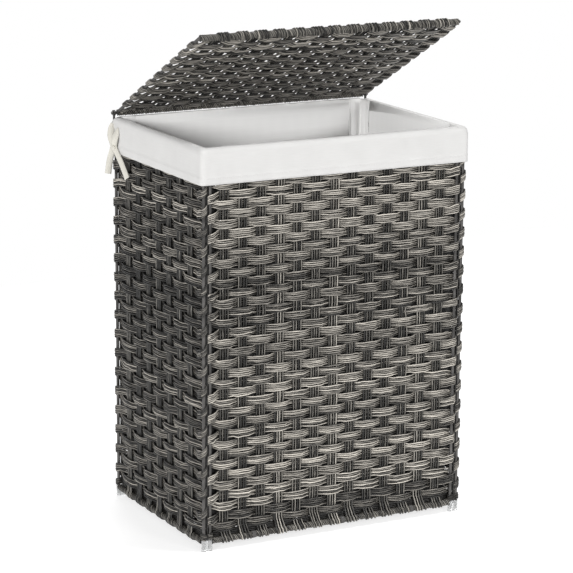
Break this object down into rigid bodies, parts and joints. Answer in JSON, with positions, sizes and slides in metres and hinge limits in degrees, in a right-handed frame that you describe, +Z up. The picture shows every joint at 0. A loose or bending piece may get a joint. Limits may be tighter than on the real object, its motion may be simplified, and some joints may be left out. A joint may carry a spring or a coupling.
{
  "type": "laundry hamper",
  "caption": "Tall rectangular woven laundry hamper on a welded rod frame, with a hinged woven lid and a removable cloth liner whose cuff folds over the rim and ties at the rear corners.",
  "frame": {"origin": "on the floor, in the middle of the hamper's footprint", "axes": "+X to the right along the front, +Y from the front to the hinge side, +Z up"},
  "size_m": [0.4858, 0.326, 0.7836],
  "materials": {
    "frame_steel": "satin dark grey paint on steel rod",
    "hinge_metal": "satin dark grey paint on steel",
    "stake_strand": "round strands of brushed, finely ribbed polyethylene, taupe grey",
    "weft_strand": "round strands of brushed, finely ribbed polyethylene, taupe grey with darker batches",
    "rim_strand": "round strands of brushed polyethylene wound round the rim",
    "clip_plastic": "dark moulded plastic",
    "clear_plastic": "clear moulded plastic",
    "liner_cloth": "plain-weave off-white cotton and polyester cloth",
    "tie_tape": "flat woven ivory tape"
  },
  "bodies": {
    "basket": {"front_frame": "frame_steel", "front_stakes": "stake_strand", "front_weft": "weft_strand", "front_top_wrap": "rim_strand", "front_bottom_wrap": "rim_strand", "back_frame": "frame_steel", "back_stakes": "stake_strand", "back_weft": "weft_strand", "back_top_wrap": "rim_strand", "back_bottom_wrap": "rim_strand", "left_frame": "frame_steel", "left_stakes": "stake_strand", "left_weft": "weft_strand", "left_top_wrap": "rim_strand", "left_bottom_wrap": "rim_strand", "right_frame": "frame_steel", "right_stakes": "stake_strand", "right_weft": "weft_strand", "right_top_wrap": "rim_strand", "right_bottom_wrap": "rim_strand", "base_frame": "frame_steel", "base_stakes": "stake_strand", "base_weft": "weft_strand", "base_rim_wrap": "rim_strand", "base_lashings": "rim_strand", "hinge_eye_left": "hinge_metal", "hinge_eye_right": "hinge_metal", "corner_clips": "clip_plastic", "foot_front_left": "clear_plastic", "foot_front_right": "clear_plastic", "foot_back_left": "clear_plastic", "foot_back_right": "clear_plastic", "liner_bag": "liner_cloth", "liner_cuff_front": "liner_cloth", "liner_cuff_left": "liner_cloth", "liner_cuff_right": "liner_cloth", "liner_cuff_back": "liner_cloth", "cuff_tie_left": "tie_tape", "cuff_tie_right": "tie_tape"},
    "lid": {"lid_frame": "frame_steel", "lid_stakes": "stake_strand", "lid_weft": "weft_strand", "lid_rear_wrap": "rim_strand", "lid_front_wrap": "rim_strand"}
  },
  "joints": [
    {"name": "lid_hinge", "type": "hinge", "parent": "basket", "child": "lid", "pos_m": [0, 0.156, 0.62595], "axis": [-1, 0, 0], "range_deg": [-27.5, 152.5]}
  ]
}
